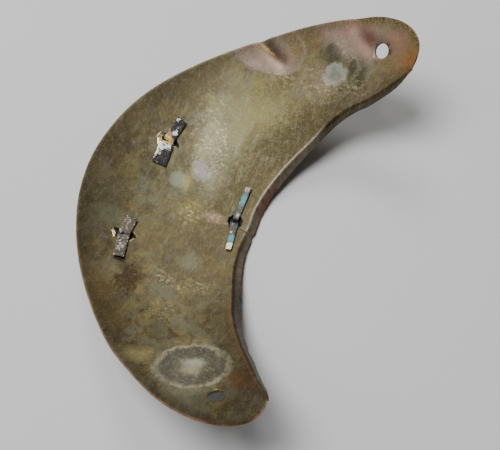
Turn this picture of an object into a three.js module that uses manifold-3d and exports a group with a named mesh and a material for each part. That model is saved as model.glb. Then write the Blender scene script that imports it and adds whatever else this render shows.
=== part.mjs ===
// An officer's gorget: a crescent of sheet brass worn below the throat, lying on its front face.
// Millimetres, +Z up. X runs from horn to horn and +Y points to the wearer's neck. The hollow
// back faces up. The sheet is worked out round the neck centre, and the group is moved at the end.
import * as THREE from 'three';
import { mergeVertices } from 'three/addons/utils/BufferGeometryUtils.js';
import Module from 'manifold-3d';

const wasm = await Module();
wasm.setup();

// Driving dimensions of the sheet
const neckReach = 25.4; // neck centre to the neck bend, in the middle
const bellyReach = 85.3; // neck centre to the rim, in the middle
const hornReach = 75; // neck centre to the rim of a horn
const tipReach = 60.6; // neck centre to a horn's tip, where the bend ends
const hornTurn = 98; // degrees round the neck centre, from the middle to a horn's tip
const hornRoundShare = 0.85; // share of the turn where a horn's round end begins
const hornRoundness = 2.4; // exponent of the round end, 2 is an ellipse
const sheet = 0.9; // thickness of the brass

// How the sheet is dished
const lowReach = 42; // neck centre to the line that lies lowest
const wrapRise = 32.6; // rise at the horns' rim, from the curve round the neck
const bowlRise = 10; // rise at the middle of the rim, from the curve across the sheet

// The neck edge, turned over to the front
const bendRadius = 1.5; // outer radius of the bend
const bendAngle = 62; // degrees that the edge is turned
const flangeWidth = 3; // flat part of the turned edge
const fadedFlange = 0.5; // share of flangeWidth below which the bend fades out too

// Holes for the cord that ties round the neck
const cordHoleRadius = 2.6;

// The badge and its prongs
const seatGap = 0.3; // running gap between touching metal
const badgeHalfWidth = 31;
const badgeHalfHeight = 22.5;
const badgeThickness = 1.6;
const badgeToBend = 1.3; // from the badge's edge to the neck bend, in the middle
const badgeFlatDepth = 0.5; // how deep the crown of the badge is ground flat
const prongThickness = 0.5;
const prongWidth = 4.1;
const prongReach = 10; // from the middle of its hole to a leg's tip
const prongBendRadius = 1;
const tornMargin = 2; // how far the ragged holes are torn past the prongs
const legSpacing = 0.2; // between the two legs that stand in one hole

// How finely the solids are faceted
const mainSteps = 44;
const endSteps = 6;
const acrossSteps = 10;
const bendSteps = 4;

// One row for each place along the crescent where its outline was set.
// turn: share of hornTurn, the left horn negative.
// belly: how far the rim has gone from hornReach to bellyReach.
// neck: how far the bend has gone from neckReach to tipReach.
// flange: share of flangeWidth.
const outlineRows = [
  { turn: -1.0, belly: 0.0, neck: 1.0, flange: 0.1 },
  { turn: -0.95, belly: -0.08, neck: 0.85, flange: 0.5 },
  { turn: -0.89, belly: -0.13, neck: 0.72, flange: 0.62 },
  { turn: -0.83, belly: -0.1, neck: 0.65, flange: 0.7 },
  { turn: -0.76, belly: -0.09, neck: 0.55, flange: 0.75 },
  { turn: -0.66, belly: -0.045, neck: 0.37, flange: 0.6 },
  { turn: -0.56, belly: 0.02, neck: 0.262, flange: 0.7 },
  { turn: -0.45, belly: 0.215, neck: 0.175, flange: 0.85 },
  { turn: -0.35, belly: 0.46, neck: 0.115, flange: 0.82 },
  { turn: -0.2, belly: 0.84, neck: 0.054, flange: 0.88 },
  { turn: -0.1, belly: 0.98, neck: 0.026, flange: 0.9 },
  { turn: 0, belly: 1, neck: 0, flange: 0.8 },
  { turn: 0.1, belly: 0.865, neck: 0.01, flange: 0.85 },
  { turn: 0.2, belly: 0.63, neck: 0.038, flange: 0.88 },
  { turn: 0.35, belly: 0.28, neck: 0.098, flange: 1.05 },
  { turn: 0.45, belly: 0.12, neck: 0.15, flange: 1.1 },
  { turn: 0.56, belly: 0.04, neck: 0.23, flange: 1.02 },
  { turn: 0.66, belly: -0.04, neck: 0.35, flange: 1.25 },
  { turn: 0.76, belly: -0.035, neck: 0.485, flange: 1.0 },
  { turn: 0.83, belly: -0.08, neck: 0.6, flange: 1.05 },
  { turn: 0.89, belly: -0.14, neck: 0.71, flange: 0.85 },
  { turn: 0.95, belly: -0.08, neck: 0.86, flange: 0.6 },
  { turn: 1.0, belly: 0.0, neck: 1.0, flange: 0.1 },
];

// Dents are grooves between two places. x is a share of hornReach and y of bellyReach, from the
// neck centre. width and depth are shares of dentSize.
const dentSize = 4;
const dents = [
  { name: 'rim_crease', x1: -0.81, y1: -0.545, x2: -0.745, y2: -0.39, width: 0.75, depth: 0.35 },
  { name: 'crease_lip', x1: -0.775, y1: -0.56, x2: -0.7, y2: -0.43, width: 0.6, depth: -0.15 },
  { name: 'horn_valley', x1: -0.96, y1: -0.17, x2: -0.87, y2: -0.07, width: 1.0, depth: 0.2 },
];

// Where the cord goes through, as shares of hornReach and bellyReach from the neck centre.
const cordHoles = [
  { name: 'left', x: -0.859, y: -0.04 },
  { name: 'right', x: 0.857, y: -0.063 },
];

// The ragged holes and the two legs of the prong that stands in each.
// x and y are shares of badgeHalfWidth and badgeHalfHeight, from the badge's middle.
// tornLong and tornWide are shares of tornMargin, along the legs' width and along the legs.
// A leg's heading is in degrees from +X, reach is a share of prongReach, root and tip are the
// widths at its ends as shares of prongWidth.
const prongs = [
  {
    name: 'left', x: -0.558, y: -0.698, tornLong: 0.8, tornWide: 0.35,
    legs: [
      { heading: 169, reach: 0.92, root: 0.95, tip: 0.95 },
      { heading: 4, reach: 0.92, root: 1.3, tip: 1.32 },
    ],
  },
  {
    name: 'right', x: 0.7, y: -0.596, tornLong: 1.05, tornWide: 0.3,
    legs: [
      { heading: 185, reach: 0.68, root: 1.0, tip: 1.02 },
      { heading: 18, reach: 0.99, root: 1.0, tip: 0.9 },
    ],
  },
  {
    name: 'neck', x: 0.02, y: 0.844, tornLong: 0.43, tornWide: 0.45,
    legs: [
      { heading: 182, reach: 1.32, root: 0.54, tip: 0.54 },
      { heading: 14, reach: 1.19, root: 0.76, tip: 0.46 },
    ],
  },
];

// The tear in the turned neck edge, at a share of hornTurn. Its size is in shares of flangeWidth.
const tear = { turn: -0.673, width: 0.33, depth: 0.87 };

const degrees = THREE.MathUtils.degToRad;

// A smooth curve through one column of the outline rows.
function outlineValue(column, turn) {
  const last = outlineRows.length - 1;
  let i = 0;
  while (i < last - 1 && outlineRows[i + 1].turn < turn) i += 1;
  const slope = (a, b) => {
    const low = outlineRows[Math.max(a, 0)];
    const high = outlineRows[Math.min(b, last)];
    return (high[column] - low[column]) / (high.turn - low.turn);
  };
  const span = outlineRows[i + 1].turn - outlineRows[i].turn;
  const t = (turn - outlineRows[i].turn) / span;
  const startSlope = slope(i - 1, i + 1) * span;
  const endSlope = slope(i, i + 2) * span;
  const start = outlineRows[i][column];
  const end = outlineRows[i + 1][column];
  return start * (2 * t ** 3 - 3 * t ** 2 + 1) + end * (3 * t ** 2 - 2 * t ** 3)
    + startSlope * (t ** 3 - 2 * t ** 2 + t) + endSlope * (t ** 3 - t ** 2);
}

// Radius of the neck bend and of the rim, from the neck centre.
function neckRadius(turn) {
  return neckReach + (tipReach - neckReach) * outlineValue('neck', turn);
}

function rimRadius(turn) {
  const neck = neckRadius(turn);
  const side = hornReach + (bellyReach - hornReach) * outlineValue('belly', turn);
  const past = Math.max(0, (Math.abs(turn) - hornRoundShare) / (1 - hornRoundShare));
  const full = (1 - Math.min(1, past) ** hornRoundness) ** (1 / hornRoundness);
  return neck + (side - neck) * full;
}

// Depth of the dents at a place: each is a groove whose ends fade out.
function dentDepth(x, y) {
  let depth = 0;
  for (const dent of dents) {
    const a = new THREE.Vector2(dent.x1 * hornReach, dent.y1 * bellyReach);
    const b = new THREE.Vector2(dent.x2 * hornReach, dent.y2 * bellyReach);
    const line = b.clone().sub(a);
    const place = new THREE.Vector2(x, y).sub(a);
    const along = THREE.MathUtils.clamp(place.dot(line) / line.lengthSq(), 0, 1);
    const away = place.sub(line.multiplyScalar(along)).length();
    depth += dent.depth * dentSize * Math.exp(-((away / (dent.width * dentSize)) ** 2));
  }
  return depth;
}

// Height of the back face over its lowest place.
function backHeight(x, y) {
  const wrap = wrapRise * (x / hornReach) ** 2;
  const bowl = bowlRise * ((y + lowReach) / (bellyReach - lowReach)) ** 2;
  return wrap + bowl - dentDepth(x, y);
}

function backPoint(x, y) {
  return new THREE.Vector3(x, y, backHeight(x, y));
}

function backNormal(x, y) {
  const step = 0.05;
  const slopeX = (backHeight(x + step, y) - backHeight(x - step, y)) / (2 * step);
  const slopeY = (backHeight(x, y + step) - backHeight(x, y - step)) / (2 * step);
  return new THREE.Vector3(-slopeX, -slopeY, 1).normalize();
}

// A place given by its share of the turn and its radius from the neck centre.
function roundNeck(turn, radius) {
  const angle = degrees(turn * hornTurn);
  return [radius * Math.sin(angle), -radius * Math.cos(angle)];
}

// One section across the sheet, from the rim over the bend to the edge of the flange.
// Each step is a point of the back face and the outward direction there.
function sectionAcross(turn) {
  const neck = neckRadius(turn);
  const rim = rimRadius(turn);
  const steps = [];
  for (let j = 0; j <= acrossSteps; j += 1) {
    const [x, y] = roundNeck(turn, rim + ((neck - rim) * j) / acrossSteps);
    steps.push({ point: backPoint(x, y), out: backNormal(x, y) });
  }
  const { point: bendStart, out: up } = steps[acrossSteps];
  const step = 0.004;
  const before = Math.max(-1, turn - step);
  const after = Math.min(1, turn + step);
  const along = backPoint(...roundNeck(after, neckRadius(after)));
  along.sub(backPoint(...roundNeck(before, neckRadius(before))));
  const toNeck = up.clone().cross(along).normalize();
  const flange = outlineValue('flange', turn);
  const fold = degrees(bendAngle * Math.min(1, flange / fadedFlange));
  const centre = bendStart.clone().addScaledVector(up, -bendRadius);
  let edge;
  for (let k = 1; k <= bendSteps; k += 1) {
    const angle = (fold * k) / bendSteps;
    const out = up.clone().multiplyScalar(Math.cos(angle));
    out.addScaledVector(toNeck, Math.sin(angle));
    edge = { point: centre.clone().addScaledVector(out, bendRadius), out };
    steps.push(edge);
  }
  const down = toNeck.clone().multiplyScalar(Math.cos(fold)).addScaledVector(up, -Math.sin(fold));
  const brink = edge.point.clone().addScaledVector(down, flangeWidth * flange);
  steps.push({ point: brink, out: edge.out });
  return steps;
}

// The places of the sections: even along the main length, close together at the round ends.
function sectionTurns() {
  const turns = [];
  const main = 2 * hornRoundShare;
  for (let i = 0; i <= mainSteps; i += 1) turns.push(-hornRoundShare + (main * i) / mainSteps);
  for (let i = 1; i <= endSteps; i += 1) {
    const past = Math.sin((Math.PI / 2) * (i / endSteps));
    turns.push(hornRoundShare + (1 - hornRoundShare) * past);
    turns.unshift(-hornRoundShare - (1 - hornRoundShare) * past);
  }
  return turns;
}

// A closed solid from rings of points with flat ends. Points that coincide become one.
function solidFromRings(rings, capPairs) {
  const count = rings[0].length;
  const points = rings.flat();
  const triangles = [];
  const quad = (a, b, c, d) => triangles.push([a, b, c], [a, c, d]);
  for (let i = 0; i + 1 < rings.length; i += 1) {
    for (let j = 0; j < count; j += 1) {
      const next = (j + 1) % count;
      quad(i * count + j, (i + 1) * count + j, (i + 1) * count + next, i * count + next);
    }
  }
  const end = (rings.length - 1) * count;
  for (const [a, b, c, d] of capPairs) {
    quad(a, b, c, d);
    quad(end + d, end + c, end + b, end + a);
  }
  const geometry = new THREE.BufferGeometry();
  const positions = points.flatMap((point) => point.toArray());
  geometry.setAttribute('position', new THREE.Float32BufferAttribute(positions, 3));
  geometry.setIndex(triangles.flat());
  return solidFromGeometry(geometry);
}

// A solid for joining and cutting, from a closed geometry.
function solidFromGeometry(geometry, matrix = new THREE.Matrix4()) {
  const bare = geometry.clone().applyMatrix4(matrix);
  bare.deleteAttribute('normal');
  bare.deleteAttribute('uv');
  const merged = mergeVertices(bare, 1e-4);
  const index = merged.index.array;
  const kept = [];
  for (let i = 0; i < index.length; i += 3) {
    const [a, b, c] = [index[i], index[i + 1], index[i + 2]];
    if (a !== b && b !== c && c !== a) kept.push(a, b, c);
  }
  const mesh = new wasm.Mesh({
    numProp: 3,
    vertProperties: new Float32Array(merged.attributes.position.array),
    triVerts: new Uint32Array(kept),
  });
  return new wasm.Manifold(mesh);
}

function geometryFromSolid(solid) {
  const mesh = solid.getMesh();
  const geometry = new THREE.BufferGeometry();
  geometry.setAttribute('position', new THREE.BufferAttribute(mesh.vertProperties, 3));
  geometry.setIndex(new THREE.BufferAttribute(mesh.triVerts, 1));
  geometry.computeVertexNormals();
  return geometry;
}

// Puts a cutter at a place on the sheet, its own Z along the sheet's normal.
function standingAt(x, y, heading = 0) {
  const up = backNormal(x, y);
  const along = new THREE.Vector3(Math.cos(heading), Math.sin(heading), 0);
  along.addScaledVector(up, -along.dot(up)).normalize();
  const side = up.clone().cross(along);
  return new THREE.Matrix4().makeBasis(along, side, up).setPosition(backPoint(x, y));
}

function cordHoleCutter(hole) {
  const cutter = new THREE.CylinderGeometry(cordHoleRadius, cordHoleRadius, 6 * sheet, 20);
  cutter.rotateX(Math.PI / 2);
  return solidFromGeometry(cutter, standingAt(hole.x * hornReach, hole.y * bellyReach));
}

// The badge's middle is under the belly, and its prongs stand at places of the badge.
function badgeCentreY() {
  return -(neckReach + badgeToBend + badgeHalfHeight);
}

function prongPlace(prong) {
  return [prong.x * badgeHalfWidth, badgeCentreY() + prong.y * badgeHalfHeight];
}

// A hole that was punched and torn: an oval whose edge wanders in and out.
function raggedHoleCutter(prong) {
  const [x0, y0] = prongPlace(prong);
  const widest = Math.max(...prong.legs.map((leg) => leg.root));
  const long = (prongWidth * widest) / 2 + tornMargin * prong.tornLong;
  const wide = prongBendRadius + prongThickness + tornMargin * prong.tornWide;
  const outline = new THREE.Shape();
  const corners = 18;
  const wander = 0.09;
  for (let i = 0; i < corners; i += 1) {
    const angle = (2 * Math.PI * i) / corners;
    const reach = 1 + wander * Math.sin(3 * angle + 1) + wander * Math.sin(5 * angle);
    const x = wide * reach * Math.cos(angle);
    const y = long * reach * Math.sin(angle);
    if (i === 0) outline.moveTo(x, y);
    else outline.lineTo(x, y);
  }
  outline.closePath();
  const height = 6 * sheet;
  const cutter = new THREE.ExtrudeGeometry(outline, { depth: height, bevelEnabled: false });
  cutter.translate(0, 0, -height / 2);
  return solidFromGeometry(cutter, standingAt(x0, y0));
}

// The tear is a thin wedge that opens at the edge of the flange.
function tearCutter() {
  const steps = sectionAcross(tear.turn);
  const edge = steps[steps.length - 1];
  const inward = steps[steps.length - 2].point.clone().sub(edge.point).normalize();
  const outline = new THREE.Shape();
  const mouth = tear.width * flangeWidth;
  outline.moveTo(-mouth / 2, -mouth);
  outline.lineTo(mouth / 2, -mouth);
  outline.lineTo(0, tear.depth * flangeWidth);
  outline.closePath();
  const height = 4 * sheet;
  const cutter = new THREE.ExtrudeGeometry(outline, { depth: height, bevelEnabled: false });
  cutter.translate(0, 0, -height / 2);
  const side = inward.clone().cross(edge.out);
  const frame = new THREE.Matrix4().makeBasis(side, inward, edge.out).setPosition(edge.point);
  return solidFromGeometry(cutter, frame);
}

function plateSolid() {
  const rings = sectionTurns().map((turn) => {
    const steps = sectionAcross(turn);
    const back = steps.map(({ point }) => point);
    const front = steps.map(({ point, out }) => point.clone().addScaledVector(out, -sheet));
    return [...back, ...front.reverse()];
  });
  const count = rings[0].length;
  const caps = [];
  for (let j = 0; j + 1 < count / 2; j += 1) {
    caps.push([j, j + 1, count - 2 - j, count - 1 - j]);
  }
  let solid = solidFromRings(rings, caps);
  for (const hole of cordHoles) solid = solid.subtract(cordHoleCutter(hole));
  for (const prong of prongs) solid = solid.subtract(raggedHoleCutter(prong));
  return solid.subtract(tearCutter());
}

// A point at a distance from the sheet's back face, outward if positive.
function overBack(x, y, distance) {
  return backPoint(x, y).addScaledVector(backNormal(x, y), distance);
}

// One leg: up from the badge through its hole, bent over, and flat along the back face.
function legSolid(prong, leg) {
  const heading = degrees(leg.heading);
  const [x0, y0] = prongPlace(prong);
  const legReach = leg.reach * prongReach;
  const lift = seatGap + prongThickness / 2;
  const apart = (legSpacing + prongThickness) / 2;
  const path = [{ along: apart, over: -sheet - seatGap - badgeThickness / 2 }];
  const arcSteps = 4;
  for (let i = 0; i <= arcSteps; i += 1) {
    const angle = ((Math.PI / 2) * i) / arcSteps;
    path.push({
      along: apart + prongBendRadius * (1 - Math.cos(angle)),
      over: lift - prongBendRadius * (1 - Math.sin(angle)),
    });
  }
  const flatStart = apart + prongBendRadius;
  const flatSteps = 4;
  for (let i = 1; i <= flatSteps; i += 1) {
    path.push({ along: flatStart + ((legReach - flatStart) * i) / flatSteps, over: lift });
  }
  const ahead = new THREE.Vector3(Math.cos(heading), Math.sin(heading), 0);
  const placeOf = ({ along }) => [x0 + along * ahead.x, y0 + along * ahead.y];
  const points = path.map((step) => overBack(...placeOf(step), step.over));
  const rings = points.map((point, i) => {
    const before = points[Math.max(0, i - 1)];
    const after = points[Math.min(points.length - 1, i + 1)];
    const forward = after.clone().sub(before).normalize();
    const side = backNormal(...placeOf(path[i])).cross(ahead);
    side.addScaledVector(forward, -side.dot(forward)).normalize();
    const up = forward.clone().cross(side);
    const share = path[i].along / legReach;
    const half = (prongWidth * THREE.MathUtils.lerp(leg.root, leg.tip, share)) / 2;
    const corner = (a, b) => point.clone().addScaledVector(side, a * half)
      .addScaledVector(up, (b * prongThickness) / 2);
    return [corner(1, 1), corner(1, -1), corner(-1, -1), corner(-1, 1)];
  });
  return solidFromRings(rings, [[0, 1, 2, 3]]);
}

// The badge is a plain oval that follows the sheet's front face, with its crown ground flat.
function badgeSolid() {
  const spokes = 40;
  const ringShares = [0.25, 0.5, 0.75, 0.95, 1];
  const edgeThickness = 0.6;
  const backAt = -sheet - seatGap;
  const side = (distanceAt) => (share, i) => {
    const angle = (-2 * Math.PI * i) / spokes;
    const x = badgeHalfWidth * share * Math.cos(angle);
    const y = badgeCentreY() + badgeHalfHeight * share * Math.sin(angle);
    return overBack(x, y, distanceAt(share));
  };
  const backSide = side(() => backAt);
  const frontSide = side((share) => backAt - badgeThickness * (share < 1 ? 1 : edgeThickness));
  const shares = [0, ...ringShares];
  const spokeRings = [];
  for (let i = 0; i <= spokes; i += 1) {
    const back = shares.map((share) => backSide(share, i % spokes));
    const front = shares.map((share) => frontSide(share, i % spokes));
    spokeRings.push([...back, ...front.reverse()]);
  }
  let solid = solidFromRings(spokeRings, []);
  for (const prong of prongs) {
    for (const leg of prong.legs) solid = solid.add(legSolid(prong, leg));
  }
  const ground = new THREE.BoxGeometry(4 * badgeHalfWidth, 8 * badgeHalfHeight, badgeThickness);
  ground.translate(0, 0, floorHeight() - badgeThickness / 2);
  return solid.subtract(solidFromGeometry(ground));
}

// Height of the badge's flat crown, on which the gorget lies.
function floorHeight() {
  return -sheet - seatGap - badgeThickness + badgeFlatDepth;
}

const brass = new THREE.MeshStandardMaterial({ color: 0x7a6b50, roughness: 0.5, metalness: 0.8 });
const greyMetal = new THREE.MeshStandardMaterial({
  color: 0x6f726c, roughness: 0.45, metalness: 0.9,
});

function namedMesh(name, solid, material) {
  const mesh = new THREE.Mesh(geometryFromSolid(solid), material);
  mesh.name = name;
  return mesh;
}

const gorget = new THREE.Group();
gorget.add(namedMesh('plate', plateSolid(), brass));
gorget.add(namedMesh('badge', badgeSolid(), greyMetal));

// The origin is the middle of the gorget's outline, on the surface that it lies on.
const box = new THREE.Box3().setFromObject(gorget);
const middle = box.getCenter(new THREE.Vector3());
gorget.position.set(-middle.x, -middle.y, -floorHeight());

export default gorget;
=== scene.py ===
# %% [markdown]
# # A brass gorget, seen from its hollow back
# A gorget is a crescent of thin brass that an officer wore below the throat. This one lies on
# its front, so the camera sees the tarnished back, the turned neck edge, two cord holes and
# three pairs of bent prongs that hold the badge on the front. The solids come from the packed
# model, and this lesson dresses them: the sheet, the prongs and the badge are modelled finer
# over their solids, and each gets a finish made of nodes.

# %% Load the model as a fixed frame
import math

import bmesh
import bpy
from mathutils import Matrix, Vector, noise


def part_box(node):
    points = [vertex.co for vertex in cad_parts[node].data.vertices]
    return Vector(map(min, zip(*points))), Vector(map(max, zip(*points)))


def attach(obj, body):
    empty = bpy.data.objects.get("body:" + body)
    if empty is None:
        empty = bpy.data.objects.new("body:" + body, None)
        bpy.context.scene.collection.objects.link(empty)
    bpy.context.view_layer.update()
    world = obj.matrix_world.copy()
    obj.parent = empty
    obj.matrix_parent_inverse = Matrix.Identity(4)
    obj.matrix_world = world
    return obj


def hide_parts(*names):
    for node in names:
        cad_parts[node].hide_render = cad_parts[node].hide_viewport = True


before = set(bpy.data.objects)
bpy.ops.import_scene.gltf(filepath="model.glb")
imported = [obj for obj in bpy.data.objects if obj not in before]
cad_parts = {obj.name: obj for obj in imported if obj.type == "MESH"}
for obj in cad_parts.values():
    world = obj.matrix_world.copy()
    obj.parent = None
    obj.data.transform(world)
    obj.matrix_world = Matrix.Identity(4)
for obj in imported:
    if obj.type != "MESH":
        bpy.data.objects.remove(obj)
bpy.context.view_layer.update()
print("nodes", sorted(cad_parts))

# %% [markdown]
# ## Units and the neck centre
# The model is in metres. Its maker set the outline round the wearer's neck, so all places here
# are millimetres from that neck centre, with the lowest place of the back face at height 0. The
# turn goes round the neck from the middle of the belly to a horn's tip.

# %% Driving sizes, in millimetres
MM = 0.001
NECK_REACH = 25.4
BELLY_REACH = 85.3
HORN_REACH = 75
TIP_REACH = 60.6
HORN_TURN = 98
ROUND_FROM = 0.85
ROUNDNESS = 2.4
SHEET = 0.9
LOW_REACH = 42
WRAP_RISE = 32.6
BOWL_RISE = 10
BEND_RADIUS = 1.5
BEND_ANGLE = 62
FLANGE_WIDTH = 3
FADED_FLANGE = 0.5

# turn, rim (share from the horns' reach to the belly's), neck (share from the neck's reach to
# the tips'), flange (share of its width)
OUTLINE = [
    (-1.0, 0.0, 1.0, 0.1), (-0.95, -0.08, 0.85, 0.5), (-0.89, -0.13, 0.72, 0.62),
    (-0.83, -0.1, 0.65, 0.7), (-0.76, -0.09, 0.55, 0.75), (-0.66, -0.045, 0.37, 0.6),
    (-0.56, 0.02, 0.262, 0.7), (-0.45, 0.215, 0.175, 0.85), (-0.35, 0.46, 0.115, 0.82),
    (-0.2, 0.84, 0.054, 0.88), (-0.1, 0.98, 0.026, 0.9), (0, 1, 0, 0.8),
    (0.1, 0.865, 0.01, 0.85), (0.2, 0.63, 0.038, 0.88), (0.35, 0.28, 0.098, 1.05),
    (0.45, 0.12, 0.15, 1.1), (0.56, 0.04, 0.23, 1.02), (0.66, -0.04, 0.35, 1.25),
    (0.76, -0.035, 0.485, 1.0), (0.83, -0.08, 0.6, 1.05), (0.89, -0.14, 0.71, 0.85),
    (0.95, -0.08, 0.86, 0.6), (1.0, 0.0, 1.0, 0.1),
]
RIM, NECK, FLANGE = 1, 2, 3
print("outline rows", len(OUTLINE))


# %% A smooth curve through one column of the outline
def outline_value(column, turn):
    last = len(OUTLINE) - 1
    i = 0
    while i < last - 1 and OUTLINE[i + 1][0] < turn:
        i += 1

    def slope(a, b):
        low, high = OUTLINE[max(a, 0)], OUTLINE[min(b, last)]
        return (high[column] - low[column]) / (high[0] - low[0])

    span = OUTLINE[i + 1][0] - OUTLINE[i][0]
    t = (turn - OUTLINE[i][0]) / span
    start, end = OUTLINE[i][column], OUTLINE[i + 1][column]
    start_slope, end_slope = slope(i - 1, i + 1) * span, slope(i, i + 2) * span
    return (
        start * (2 * t**3 - 3 * t**2 + 1) + end * (3 * t**2 - 2 * t**3)
        + start_slope * (t**3 - 2 * t**2 + t) + end_slope * (t**3 - t**2)
    )


def neck_radius(turn):
    return NECK_REACH + (TIP_REACH - NECK_REACH) * outline_value(NECK, turn)


def rim_radius(turn):
    neck = neck_radius(turn)
    side = HORN_REACH + (BELLY_REACH - HORN_REACH) * outline_value(RIM, turn)
    past = min(1, max(0, (abs(turn) - ROUND_FROM) / (1 - ROUND_FROM)))
    return neck + (side - neck) * (1 - past**ROUNDNESS) ** (1 / ROUNDNESS)


def round_neck(turn, radius):
    angle = math.radians(turn * HORN_TURN)
    return radius * math.sin(angle), -radius * math.cos(angle)


print("breadth in the middle", round(rim_radius(0) - neck_radius(0), 1), "mm")

# %% [markdown]
# ## The dished form and its dents
# Beaten sheet is never true. On top of the two smooth curves that wrap it round the chest come
# the creases near the left horn, where the rim was knocked in, a kink at the neck, and a slow
# unevenness that breaks up the reflections. Each dent is a groove between two places, deepest
# on its line, and a negative depth is a raised lip beside a groove.

# %% Dents: from, to, width, depth, in millimetres
DENTS = [
    ((-60.4, -46.8), (-56.4, -36.5), 2.0, 0.75),
    ((-60.6, -42.6), (-57.2, -35.0), 1.6, -0.3),
    ((-72.0, -14.5), (-65.3, -6.0), 3.4, 0.6),
    ((-69.5, -10.0), (-66.5, -1.0), 2.2, -0.35),
    ((1.2, -29.4), (2.9, -24.0), 0.7, 0.3),
    ((55.5, -13.0), (61.0, -20.0), 6.5, 0.35),
    ((-57.0, -16.5), (-55.0, -17.0), 5.0, 0.3),
]
UNEVEN_SIZE = 17
UNEVEN_DEPTH = 0.22


def dent_depth(x, y):
    depth = 0
    for (ax, ay), (bx, by), width, deep in DENTS:
        ux, uy = bx - ax, by - ay
        along = ((x - ax) * ux + (y - ay) * uy) / (ux * ux + uy * uy)
        along = min(1, max(0, along))
        away = math.hypot(x - ax - along * ux, y - ay - along * uy)
        depth += deep * math.exp(-((away / width) ** 2))
    return depth


def back_height(x, y):
    wrap = WRAP_RISE * (x / HORN_REACH) ** 2
    bowl = BOWL_RISE * ((y + LOW_REACH) / (BELLY_REACH - LOW_REACH)) ** 2
    uneven = UNEVEN_DEPTH * noise.noise(Vector((x, y, 0)) / UNEVEN_SIZE)
    return wrap + bowl - dent_depth(x, y) + uneven


def back_point(x, y):
    return Vector((x, y, back_height(x, y)))


def back_normal(x, y, step=0.1):
    slope_x = (back_height(x + step, y) - back_height(x - step, y)) / (2 * step)
    slope_y = (back_height(x, y + step) - back_height(x, y - step)) / (2 * step)
    return Vector((-slope_x, -slope_y, 1)).normalized()


def over_back(x, y, distance):
    return back_point(x, y) + back_normal(x, y) * distance


print("rise of a horn", round(back_height(HORN_REACH, 0), 1), "mm")

# %% [markdown]
# ## One section across the sheet
# The sheet is smooth from the rim to the neck, turns over a round bend, and ends in a narrow
# flange that points to the front. Its edge was cut by hand, so it wanders a little, and on the
# right horn it is chipped and waves more.

# %% Points of the back face across one section
ACROSS_STEPS = 60
BEND_STEPS = 7
FLANGE_STEPS = 5
TURN_STEP = 0.004  # to either side of a turn, for the direction of the bend there
EDGE_WANDER = 0.3
WAVY_HORN = 2.0
WAVY_FROM = 0.45  # the turn where the wavy stretch begins
LONG_WAVES, SHORT_WAVES = 26, 90  # to one unit of turn


def section(turn):
    neck, rim = neck_radius(turn), rim_radius(turn)
    points = []
    for j in range(ACROSS_STEPS + 1):
        x, y = round_neck(turn, rim + (neck - rim) * j / ACROSS_STEPS)
        points.append((back_point(x, y), back_normal(x, y)))
    start, up = points[-1]
    before, after = max(-1, turn - TURN_STEP), min(1, turn + TURN_STEP)
    along = back_point(*round_neck(after, neck_radius(after)))
    along -= back_point(*round_neck(before, neck_radius(before)))
    to_neck = up.cross(along).normalized()
    flange = outline_value(FLANGE, turn)
    fold = math.radians(BEND_ANGLE * min(1, flange / FADED_FLANGE))
    centre = start - up * BEND_RADIUS
    for k in range(1, BEND_STEPS + 1):
        angle = fold * k / BEND_STEPS
        out = up * math.cos(angle) + to_neck * math.sin(angle)
        points.append((centre + out * BEND_RADIUS, out))
    edge, out = points[-1]
    down = to_neck * math.cos(fold) - up * math.sin(fold)
    wander = noise.noise(Vector((turn * LONG_WAVES, 3, 0)))
    wander += 0.5 * noise.noise(Vector((turn * SHORT_WAVES, 7, 0)))
    wander *= WAVY_HORN if turn > WAVY_FROM else EDGE_WANDER
    width = FLANGE_WIDTH * flange + wander * min(1, flange)
    for k in range(1, FLANGE_STEPS + 1):
        points.append((edge + down * width * k / FLANGE_STEPS, out))
    return points


MAIN_STEPS = 230
END_STEPS = 16


def section_turns():
    main = [ROUND_FROM * (2 * i / MAIN_STEPS - 1) for i in range(MAIN_STEPS + 1)]
    quarter = [math.sin(math.pi / 2 * i / END_STEPS) for i in range(1, END_STEPS + 1)]
    end = [ROUND_FROM + (1 - ROUND_FROM) * share for share in quarter]
    return [-turn for turn in reversed(end)] + main + end


TURNS = section_turns()
SECTIONS = [section(turn) for turn in TURNS]
print("sections", len(SECTIONS), "of", len(SECTIONS[0]), "points")

# %% [markdown]
# ## Where the neck centre lies in the model
# The same sheet is in the frame as the node `plate`. Setting the box of these sections against
# the box of that node gives the shift from neck centre to frame, so nothing is fitted by eye.

# %% The shift into the frame
faces = [point for row in SECTIONS for point, out in row]
faces += [point - out * SHEET for row in SECTIONS for point, out in row]
low = Vector([min(p[k] for p in faces) for k in range(3)]) * MM
high = Vector([max(p[k] for p in faces) for k in range(3)]) * MM
plate_low, plate_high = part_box("plate")
TO_FRAME = Vector((
    (plate_low.x + plate_high.x - low.x - high.x) / 2,
    (plate_low.y + plate_high.y - low.y - high.y) / 2,
    plate_high.z - high.z,
))
print("neck centre at", [round(v / MM, 2) for v in TO_FRAME], "mm")


def placed(point):
    return point * MM + TO_FRAME


def new_piece(name, bm, body="root", node=None):
    bmesh.ops.recalc_face_normals(bm, faces=bm.faces)
    if bm.calc_volume(signed=True) < 0:
        bmesh.ops.reverse_faces(bm, faces=bm.faces)
    mesh = bpy.data.meshes.new(name)
    bm.to_mesh(mesh)
    bm.free()
    for polygon in mesh.polygons:
        polygon.use_smooth = True
    piece = bpy.data.objects.new(name, mesh)
    bpy.context.scene.collection.objects.link(piece)
    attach(piece, body)
    if node:
        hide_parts(node)
    return piece


# %% [markdown]
# ## The sheet
# A sheet that curves two ways is easiest to make flat and then lay over its form. So this is
# one flat grid, whose columns are the sections and whose rows run from the rim to the flange.
# Each vertex is carried to its place. Its turn and its row go into a UV map first, because the
# finish needs to know how near a spot is to the rim, the bend and the flange. Solidify then
# gives the brass its thickness on the front side, and one Boolean cuts all the holes.

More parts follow.
